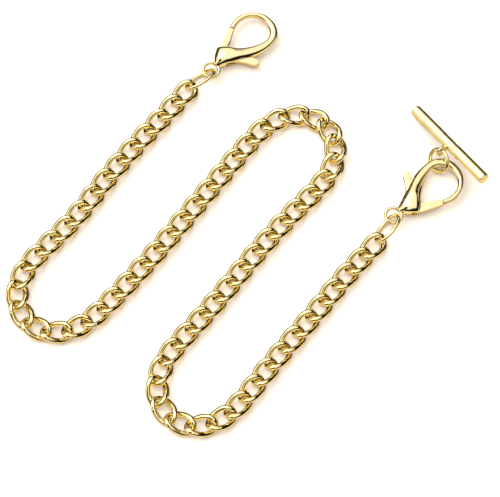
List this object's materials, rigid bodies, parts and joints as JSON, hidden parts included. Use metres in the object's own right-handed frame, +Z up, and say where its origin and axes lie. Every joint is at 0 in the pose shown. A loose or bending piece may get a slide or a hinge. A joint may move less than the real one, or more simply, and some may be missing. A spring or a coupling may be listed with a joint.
{
  "type": "pocket watch chain",
  "caption": "Curb-link pocket watch chain laid in an S, with a lobster clasp on oval rings at each end and a T-bar on a jump ring.",
  "frame": {"origin": "on the surface that the chain lies on, under the middle of its overall box", "axes": "+Z up from the surface; +Y towards the watch end's clasp; +X towards the T-bar side"},
  "size_m": [0.1188, 0.1126, 0.01],
  "materials": {
    "chain_gold": "polished gold plate",
    "clasp_gold": "polished gold plate",
    "bar_gold": "polished gold plate with fine lengthwise lines",
    "pin_steel": "turned",
    "spring_steel": "rolled strip"
  },
  "bodies": {
    "t_bar": {"t_bar": "bar_gold", "t_bar_eye": "bar_gold"},
    "jump_ring": {"jump_ring": "chain_gold"},
    "clasp_b": {"clasp_b_body": "clasp_gold", "clasp_b_pin": "pin_steel", "clasp_b_spring": "spring_steel"},
    "clasp_b_lever": {"clasp_b_lever": "clasp_gold"},
    "oval_ring_b": {"oval_ring_b": "chain_gold"},
    "link_66": {"link_66": "chain_gold"},
    "links_64_65": {"links_64_65": "chain_gold"},
    "links_62_63": {"links_62_63": "chain_gold"},
    "links_60_61": {"links_60_61": "chain_gold"},
    "links_58_59": {"links_58_59": "chain_gold"},
    "link_57": {"link_57": "chain_gold"},
    "link_56": {"link_56": "chain_gold"},
    "link_55": {"link_55": "chain_gold"},
    "link_54": {"link_54": "chain_gold"},
    "link_53": {"link_53": "chain_gold"},
    "link_52": {"link_52": "chain_gold"},
    "link_51": {"link_51": "chain_gold"},
    "link_50": {"link_50": "chain_gold"},
    "link_49": {"link_49": "chain_gold"},
    "link_48": {"link_48": "chain_gold"},
    "links_46_47": {"links_46_47": "chain_gold"},
    "links_44_45": {"links_44_45": "chain_gold"},
    "links_42_43": {"links_42_43": "chain_gold"},
    "links_40_41": {"links_40_41": "chain_gold"},
    "link_39": {"link_39": "chain_gold"},
    "link_38": {"link_38": "chain_gold"},
    "link_37": {"link_37": "chain_gold"},
    "link_36": {"link_36": "chain_gold"},
    "link_35": {"link_35": "chain_gold"},
    "link_34": {"link_34": "chain_gold"},
    "link_33": {"link_33": "chain_gold"},
    "link_32": {"link_32": "chain_gold"},
    "link_31": {"link_31": "chain_gold"},
    "link_30": {"link_30": "chain_gold"},
    "links_27_29": {"links_27_29": "chain_gold"},
    "links_25_26": {"links_25_26": "chain_gold"},
    "links_23_24": {"links_23_24": "chain_gold"},
    "links_21_22": {"links_21_22": "chain_gold"},
    "link_20": {"link_20": "chain_gold"},
    "link_19": {"link_19": "chain_gold"},
    "link_18": {"link_18": "chain_gold"},
    "link_17": {"link_17": "chain_gold"},
    "link_16": {"link_16": "chain_gold"},
    "link_15": {"link_15": "chain_gold"},
    "link_14": {"link_14": "chain_gold"},
    "link_13": {"link_13": "chain_gold"},
    "link_12": {"link_12": "chain_gold"},
    "link_11": {"link_11": "chain_gold"},
    "links_08_10": {"links_08_10": "chain_gold"},
    "links_06_07": {"links_06_07": "chain_gold"},
    "links_03_05": {"links_03_05": "chain_gold"},
    "links_01_02": {"links_01_02": "chain_gold"},
    "oval_ring_a": {"oval_ring_a": "chain_gold"},
    "clasp_a": {"clasp_a_body": "clasp_gold", "clasp_a_pin": "pin_steel", "clasp_a_spring": "spring_steel"},
    "clasp_a_lever": {"clasp_a_lever": "clasp_gold"}
  },
  "joints": [
    {"name": "clasp_a_trigger", "type": "hinge", "parent": "clasp_a", "child": "clasp_a_lever", "pos_m": [-0.00534, 0.044, 0.0022], "axis": [0, 0, -1], "range_deg": [0, 26], "stiffness_Nm_per_rad": 0.01, "springref_deg": -22.92, "deforming": ["clasp_a_spring"]},
    {"name": "clasp_b_trigger", "type": "hinge", "parent": "clasp_b", "child": "clasp_b_lever", "pos_m": [0.04135, 0.00302, 0.0022], "axis": [0, 0, 1], "range_deg": [0, 26], "stiffness_Nm_per_rad": 0.01, "springref_deg": -22.92, "deforming": ["clasp_b_spring"]},
    {"name": "t_bar_swing", "type": "hinge", "parent": "t_bar", "child": "jump_ring", "pos_m": [0.04877, 0.01646, 0.00456], "axis": [0.5678, -0.7815, 0.2588], "range_deg": [-60, 42]},
    {"name": "jump_ring_swing", "type": "hinge", "parent": "jump_ring", "child": "clasp_b", "pos_m": [0.0486, 0.01421, 0.0026], "axis": [0.9368, 0.3498, 0], "range_deg": [-3, 60]},
    {"name": "clasp_b_swing", "type": "hinge", "parent": "clasp_b", "child": "oval_ring_b", "pos_m": [0.03499, -0.00118, 0.0022], "axis": [-0.809, 0.5878, 0], "range_deg": [-15, 2]},
    {"name": "clasp_a_swing", "type": "hinge", "parent": "oval_ring_a", "child": "clasp_a", "pos_m": [-0.01044, 0.03833, 0.0022], "axis": [-0.5592, 0.829, 0], "range_deg": [-1, 10]},
    {"name": "oval_ring_a_turn", "type": "hinge", "parent": "links_01_02", "child": "oval_ring_a", "pos_m": [-0.01418, 0.03523, 0.00234], "axis": [0, 0, 1], "range_deg": [-6, 40]},
    {"name": "oval_ring_b_turn", "type": "hinge", "parent": "oval_ring_b", "child": "link_66", "pos_m": [0.03302, -0.00627, 0.00237], "axis": [0, 0, 1], "range_deg": [-32, 7]},
    {"name": "fold_65_66", "type": "hinge", "parent": "link_66", "child": "links_64_65", "pos_m": [0.02947, -0.01001, 0.00165], "axis": [-0.7363, 0.6767, 0], "range_deg": [-31, 31]},
    {"name": "turn_63_64", "type": "hinge", "parent": "links_64_65", "child": "links_62_63", "pos_m": [0.02262, -0.01796, 0.00165], "axis": [0, 0, 1], "range_deg": [-23, 36]},
    {"name": "fold_61_62", "type": "hinge", "parent": "links_62_63", "child": "links_60_61", "pos_m": [0.01611, -0.0262, 0.00165], "axis": [0.7771, -0.6293, 0], "range_deg": [-31, 31]},
    {"name": "turn_59_60", "type": "hinge", "parent": "links_60_61", "child": "links_58_59", "pos_m": [0.0094, -0.03428, 0.00165], "axis": [0, 0, -1], "range_deg": [-36, 13]},
    {"name": "fold_57_58", "type": "hinge", "parent": "links_58_59", "child": "link_57", "pos_m": [0.0029, -0.04253, 0.00165], "axis": [-0.7978, 0.603, 0], "range_deg": [-31, 31]},
    {"name": "turn_56_57", "type": "hinge", "parent": "link_57", "child": "link_56", "pos_m": [-0.00022, -0.04675, 0.00165], "axis": [0, 0, 1], "range_deg": [-10, 43]},
    {"name": "fold_55_56", "type": "hinge", "parent": "link_56", "child": "link_55", "pos_m": [-0.00374, -0.05064, 0.00165], "axis": [0.6413, -0.7673, 0], "range_deg": [-19, 19]},
    {"name": "turn_54_55", "type": "hinge", "parent": "link_55", "child": "link_54", "pos_m": [-0.0082, -0.05341, 0.00165], "axis": [0, 0, -1], "range_deg": [-62, 9]},
    {"name": "fold_53_54", "type": "hinge", "parent": "link_54", "child": "link_53", "pos_m": [-0.01341, -0.05407, 0.00165], "axis": [0.1365, 0.9906, 0], "range_deg": [-4, 4]},
    {"name": "turn_52_53", "type": "hinge", "parent": "link_53", "child": "link_52", "pos_m": [-0.01824, -0.05203, 0.00165], "axis": [0, 0, 1], "range_deg": [-5, 70]},
    {"name": "fold_51_52", "type": "hinge", "parent": "link_52", "child": "link_51", "pos_m": [-0.02125, -0.04772, 0.00165], "axis": [-0.9406, -0.3395, 0], "range_deg": [-4, 4]},
    {"name": "turn_50_51", "type": "hinge", "parent": "link_51", "child": "link_50", "pos_m": [-0.02168, -0.04249, 0.00165], "axis": [0, 0, -1], "range_deg": [-62, 9]},
    {"name": "fold_49_50", "type": "hinge", "parent": "link_50", "child": "link_49", "pos_m": [-0.0199, -0.03756, 0.00165], "axis": [0.8838, -0.4678, 0], "range_deg": [-19, 19]},
    {"name": "turn_48_49", "type": "hinge", "parent": "link_49", "child": "link_48", "pos_m": [-0.01682, -0.0333, 0.00165], "axis": [0, 0, 1], "range_deg": [-12, 43]},
    {"name": "fold_47_48", "type": "hinge", "parent": "link_48", "child": "links_46_47", "pos_m": [-0.01334, -0.02937, 0.00165], "axis": [-0.7554, 0.6552, 0], "range_deg": [-31, 31]},
    {"name": "turn_45_46", "type": "hinge", "parent": "links_46_47", "child": "links_44_45", "pos_m": [-0.00662, -0.02131, 0.00165], "axis": [0, 0, -1], "range_deg": [-36, 17]},
    {"name": "fold_43_44", "type": "hinge", "parent": "links_44_45", "child": "links_42_43", "pos_m": [-0.00022, -0.01298, 0.00165], "axis": [0.7907, -0.6122, 0], "range_deg": [-31, 31]},
    {"name": "turn_41_42", "type": "hinge", "parent": "links_42_43", "child": "links_40_41", "pos_m": [0.00643, -0.00485, 0.00165], "axis": [0, 0, 1], "range_deg": [-33, 18]},
    {"name": "fold_39_40", "type": "hinge", "parent": "links_40_41", "child": "link_39", "pos_m": [0.01349, 0.00292, 0.00165], "axis": [-0.7224, 0.6915, 0], "range_deg": [-31, 31]},
    {"name": "turn_38_39", "type": "hinge", "parent": "link_39", "child": "link_38", "pos_m": [0.01716, 0.00666, 0.00165], "axis": [0, 0, -1], "range_deg": [-12, 43]},
    {"name": "fold_37_38", "type": "hinge", "parent": "link_38", "child": "link_37", "pos_m": [0.02046, 0.01075, 0.00165], "axis": [0.8588, -0.5123, 0], "range_deg": [-19, 19]},
    {"name": "turn_36_37", "type": "hinge", "parent": "link_37", "child": "link_36", "pos_m": [0.02249, 0.01559, 0.00165], "axis": [0, 0, 1], "range_deg": [-62, 10]},
    {"name": "fold_35_36", "type": "hinge", "parent": "link_36", "child": "link_35", "pos_m": [0.02231, 0.02084, 0.00165], "axis": [-0.9554, -0.2953, 0], "range_deg": [-4, 4]},
    {"name": "turn_34_35", "type": "hinge", "parent": "link_35", "child": "link_34", "pos_m": [0.0195, 0.02527, 0.00165], "axis": [0, 0, -1], "range_deg": [-5, 70]},
    {"name": "fold_33_34", "type": "hinge", "parent": "link_34", "child": "link_33", "pos_m": [0.01475, 0.02752, 0.00165], "axis": [0.1767, 0.9843, 0], "range_deg": [-4, 4]},
    {"name": "turn_32_33", "type": "hinge", "parent": "link_33", "child": "link_32", "pos_m": [0.00952, 0.02706, 0.00165], "axis": [0, 0, 1], "range_deg": [-62, 10]},
    {"name": "fold_31_32", "type": "hinge", "parent": "link_32", "child": "link_31", "pos_m": [0.00497, 0.02446, 0.00165], "axis": [0.6131, -0.79, 0], "range_deg": [-19, 19]},
    {"name": "turn_30_31", "type": "hinge", "parent": "link_31", "child": "link_30", "pos_m": [0.00131, 0.02069, 0.00165], "axis": [0, 0, -1], "range_deg": [-12, 43]},
    {"name": "fold_29_30", "type": "hinge", "parent": "link_30", "child": "links_27_29", "pos_m": [-0.00196, 0.01658, 0.00165], "axis": [-0.7837, 0.6211, 0], "range_deg": [-31, 31]},
    {"name": "turn_26_27", "type": "hinge", "parent": "links_27_29", "child": "links_25_26", "pos_m": [-0.01167, 0.00419, 0.00165], "axis": [0, 0, 1], "range_deg": [-26, 19]},
    {"name": "fold_24_25", "type": "hinge", "parent": "links_25_26", "child": "links_23_24", "pos_m": [-0.01808, -0.00413, 0.00165], "axis": [0.7885, -0.615, 0], "range_deg": [-31, 31]},
    {"name": "turn_22_23", "type": "hinge", "parent": "links_23_24", "child": "links_21_22", "pos_m": [-0.02467, -0.01231, 0.00165], "axis": [0, 0, -1], "range_deg": [-38, 16]},
    {"name": "fold_20_21", "type": "hinge", "parent": "links_21_22", "child": "link_20", "pos_m": [-0.03151, -0.02028, 0.00165], "axis": [-0.7484, 0.6633, 0], "range_deg": [-31, 31]},
    {"name": "turn_19_20", "type": "hinge", "parent": "link_20", "child": "link_19", "pos_m": [-0.03502, -0.02418, 0.00165], "axis": [0, 0, 1], "range_deg": [-12, 43]},
    {"name": "fold_18_19", "type": "hinge", "parent": "link_19", "child": "link_18", "pos_m": [-0.03889, -0.02772, 0.00165], "axis": [0.5669, -0.8238, 0], "range_deg": [-19, 19]},
    {"name": "turn_17_18", "type": "hinge", "parent": "link_18", "child": "link_17", "pos_m": [-0.04359, -0.03007, 0.00165], "axis": [0, 0, -1], "range_deg": [-62, 9]},
    {"name": "fold_16_17", "type": "hinge", "parent": "link_17", "child": "link_16", "pos_m": [-0.04883, -0.03028, 0.00165], "axis": [0.2195, 0.9756, 0], "range_deg": [-5, 5]},
    {"name": "turn_15_16", "type": "hinge", "parent": "link_16", "child": "link_15", "pos_m": [-0.05348, -0.02785, 0.00165], "axis": [0, 0, 1], "range_deg": [-6, 69]},
    {"name": "fold_14_15", "type": "hinge", "parent": "link_15", "child": "link_14", "pos_m": [-0.05616, -0.02333, 0.00165], "axis": [-0.9628, -0.2703, 0], "range_deg": [-5, 5]},
    {"name": "turn_13_14", "type": "hinge", "parent": "link_14", "child": "link_13", "pos_m": [-0.05623, -0.01808, 0.00165], "axis": [0, 0, -1], "range_deg": [-62, 7]},
    {"name": "fold_12_13", "type": "hinge", "parent": "link_13", "child": "link_12", "pos_m": [-0.05413, -0.01327, 0.00165], "axis": [0.8523, -0.5231, 0], "range_deg": [-19, 19]},
    {"name": "turn_11_12", "type": "hinge", "parent": "link_12", "child": "link_11", "pos_m": [-0.05079, -0.00921, 0.00165], "axis": [0, 0, 1], "range_deg": [-8, 43]},
    {"name": "fold_10_11", "type": "hinge", "parent": "link_11", "child": "links_08_10", "pos_m": [-0.04707, -0.0055, 0.00165], "axis": [-0.7284, 0.6852, 0], "range_deg": [-30, 30]},
    {"name": "turn_07_08", "type": "hinge", "parent": "links_08_10", "child": "links_06_07", "pos_m": [-0.03739, 0.00689, 0.00165], "axis": [0, 0, -1], "range_deg": [-39, 12]},
    {"name": "fold_05_06", "type": "hinge", "parent": "links_06_07", "child": "links_03_05", "pos_m": [-0.03108, 0.01528, 0.00165], "axis": [0.7819, -0.6234, 0], "range_deg": [-31, 31]},
    {"name": "turn_02_03", "type": "hinge", "parent": "links_03_05", "child": "links_01_02", "pos_m": [-0.02089, 0.02729, 0.00165], "axis": [0, 0, 1], "range_deg": [-24, 37]}
  ]
}
